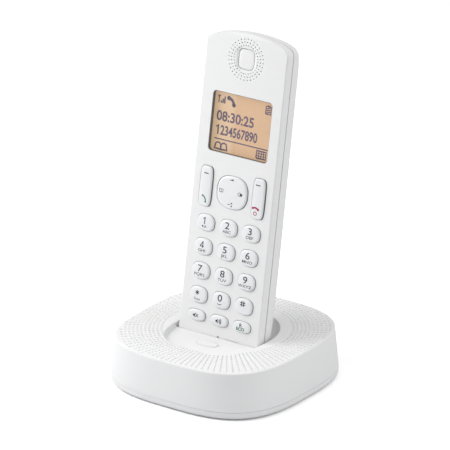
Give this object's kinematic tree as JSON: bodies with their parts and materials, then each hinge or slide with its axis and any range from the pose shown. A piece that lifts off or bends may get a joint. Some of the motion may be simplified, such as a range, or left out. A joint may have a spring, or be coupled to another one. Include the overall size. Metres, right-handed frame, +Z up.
{
  "type": "cordless phone with base",
  "caption": "White cordless telephone handset with keypad and amber display, leaning back in a rounded square charging base with a textured top.",
  "frame": {"origin": "on the table, under the middle of the base", "axes": "+Z up, longest; front of the phone faces -Y; +X to the right seen from the front"},
  "size_m": [0.0996, 0.0996, 0.1717],
  "materials": {
    "base_casing": "satin white moulded plastic, fine texture on top",
    "handset_casing": "satin white moulded plastic",
    "keys": "satin white key caps with grey legends",
    "lens": "clear glossy window",
    "display": "amber backlit panel with dark segments",
    "rubber": "matt moulded rubber",
    "board": "green circuit board",
    "black_plastic": "black moulded plastic",
    "steel": "bright steel",
    "contact_metal": "plated charging contact",
    "cell": "plain printed sleeve, no wording"
  },
  "bodies": {
    "base": {"base_top_housing": "base_casing", "base_bottom_cover": "base_casing", "base_circuit_board": "board", "line_jack": "black_plastic", "dc_inlet": "black_plastic", "finder_switch": "black_plastic", "base_foot_1": "rubber", "base_foot_2": "rubber", "base_foot_3": "rubber", "base_foot_4": "rubber", "base_screw_1": "steel", "base_screw_2": "steel", "base_screw_3": "steel", "base_screw_4": "steel"},
    "handset": {"handset_front_case": "handset_casing", "handset_rear_case": "handset_casing", "display_window": "lens", "display_module": "display", "keypad_mat": "rubber", "handset_circuit_board": "board", "ear_speaker": "black_plastic", "microphone": "steel", "ringer_speaker": "black_plastic", "charge_terminal_left": "contact_metal", "charge_terminal_right": "contact_metal", "case_screw_left": "steel", "case_screw_right": "steel", "battery_cell_left": "cell", "battery_cell_right": "cell", "battery_plate_lower": "steel", "battery_plate_upper": "steel"},
    "finder_button": {"finder_button": "base_casing"},
    "charge_pin_left": {"charge_pin_left": "contact_metal"},
    "charge_pin_right": {"charge_pin_right": "contact_metal"},
    "battery_cover": {"battery_cover": "handset_casing"},
    "talk_rocker": {"talk_rocker": "keys"},
    "off_rocker": {"off_rocker": "keys"},
    "navigation_carrier": {"navigation_carrier": "rubber"},
    "navigation_key": {"navigation_key": "keys"},
    "key_1": {"key_1": "keys"},
    "key_2": {"key_2": "keys"},
    "key_3": {"key_3": "keys"},
    "key_4": {"key_4": "keys"},
    "key_5": {"key_5": "keys"},
    "key_6": {"key_6": "keys"},
    "key_7": {"key_7": "keys"},
    "key_8": {"key_8": "keys"},
    "key_9": {"key_9": "keys"},
    "key_star": {"key_star": "keys"},
    "key_0": {"key_0": "keys"},
    "key_hash": {"key_hash": "keys"},
    "key_mute": {"key_mute": "keys"},
    "key_speakerphone": {"key_speakerphone": "keys"},
    "key_recall": {"key_recall": "keys"}
  },
  "joints": [
    {"name": "handset_lift", "type": "slide", "parent": "base", "child": "handset", "axis": [0, 0.1685, 0.9857], "range_m": [0, 0.06]},
    {"name": "finder_button_press", "type": "slide", "parent": "base", "child": "finder_button", "axis": [0, 0, -1], "range_m": [0, 0.0008], "stiffness_N_per_m": 30},
    {"name": "charge_pin_left_press", "type": "slide", "parent": "base", "child": "charge_pin_left", "axis": [0, -0.1685, -0.9857], "range_m": [0, 0.001], "stiffness_N_per_m": 30},
    {"name": "charge_pin_right_press", "type": "slide", "parent": "base", "child": "charge_pin_right", "axis": [0, -0.1685, -0.9857], "range_m": [0, 0.001], "stiffness_N_per_m": 30},
    {"name": "battery_cover_release", "type": "slide", "parent": "handset", "child": "battery_cover", "axis": [0, 0.9857, -0.1685], "range_m": [0, 0.03]},
    {"name": "talk_rocker_tilt", "type": "hinge", "parent": "handset", "child": "talk_rocker", "pos_m": [-0.0157, 0.00922, 0.09428], "axis": [1, 0, 0], "range_deg": [-2.5, 2.5], "stiffness_Nm_per_rad": 0.003},
    {"name": "off_rocker_tilt", "type": "hinge", "parent": "handset", "child": "off_rocker", "pos_m": [0.0157, 0.00922, 0.09428], "axis": [1, 0, 0], "range_deg": [-2.5, 2.5], "stiffness_Nm_per_rad": 0.003},
    {"name": "navigation_up_down", "type": "hinge", "parent": "handset", "child": "navigation_carrier", "pos_m": [0, 0.00942, 0.09399], "axis": [1, 0, 0], "range_deg": [-2, 2], "stiffness_Nm_per_rad": 0.008},
    {"name": "navigation_left_right", "type": "hinge", "parent": "navigation_carrier", "child": "navigation_key", "pos_m": [0, 0.00942, 0.09399], "axis": [0, 0.1685, 0.9857], "range_deg": [-2, 2], "stiffness_Nm_per_rad": 0.008},
    {"name": "key_1_press", "type": "slide", "parent": "handset", "child": "key_1", "axis": [0, 0.9857, -0.1685], "range_m": [0, 0.0007], "stiffness_N_per_m": 30},
    {"name": "key_2_press", "type": "slide", "parent": "handset", "child": "key_2", "axis": [0, 0.9857, -0.1685], "range_m": [0, 0.0007], "stiffness_N_per_m": 30},
    {"name": "key_3_press", "type": "slide", "parent": "handset", "child": "key_3", "axis": [0, 0.9857, -0.1685], "range_m": [0, 0.0007], "stiffness_N_per_m": 30},
    {"name": "key_4_press", "type": "slide", "parent": "handset", "child": "key_4", "axis": [0, 0.9857, -0.1685], "range_m": [0, 0.0007], "stiffness_N_per_m": 30},
    {"name": "key_5_press", "type": "slide", "parent": "handset", "child": "key_5", "axis": [0, 0.9857, -0.1685], "range_m": [0, 0.0007], "stiffness_N_per_m": 30},
    {"name": "key_6_press", "type": "slide", "parent": "handset", "child": "key_6", "axis": [0, 0.9857, -0.1685], "range_m": [0, 0.0007], "stiffness_N_per_m": 30},
    {"name": "key_7_press", "type": "slide", "parent": "handset", "child": "key_7", "axis": [0, 0.9857, -0.1685], "range_m": [0, 0.0007], "stiffness_N_per_m": 30},
    {"name": "key_8_press", "type": "slide", "parent": "handset", "child": "key_8", "axis": [0, 0.9857, -0.1685], "range_m": [0, 0.0007], "stiffness_N_per_m": 30},
    {"name": "key_9_press", "type": "slide", "parent": "handset", "child": "key_9", "axis": [0, 0.9857, -0.1685], "range_m": [0, 0.0007], "stiffness_N_per_m": 30},
    {"name": "key_star_press", "type": "slide", "parent": "handset", "child": "key_star", "axis": [0, 0.9857, -0.1685], "range_m": [0, 0.0007], "stiffness_N_per_m": 30},
    {"name": "key_0_press", "type": "slide", "parent": "handset", "child": "key_0", "axis": [0, 0.9857, -0.1685], "range_m": [0, 0.0007], "stiffness_N_per_m": 30},
    {"name": "key_hash_press", "type": "slide", "parent": "handset", "child": "key_hash", "axis": [0, 0.9857, -0.1685], "range_m": [0, 0.0007], "stiffness_N_per_m": 30},
    {"name": "key_mute_press", "type": "slide", "parent": "handset", "child": "key_mute", "axis": [0, 0.9857, -0.1685], "range_m": [0, 0.0007], "stiffness_N_per_m": 30},
    {"name": "key_speakerphone_press", "type": "slide", "parent": "handset", "child": "key_speakerphone", "axis": [0, 0.9857, -0.1685], "range_m": [0, 0.0007], "stiffness_N_per_m": 30},
    {"name": "key_recall_press", "type": "slide", "parent": "handset", "child": "key_recall", "axis": [0, 0.9857, -0.1685], "range_m": [0, 0.0007], "stiffness_N_per_m": 30}
  ]
}
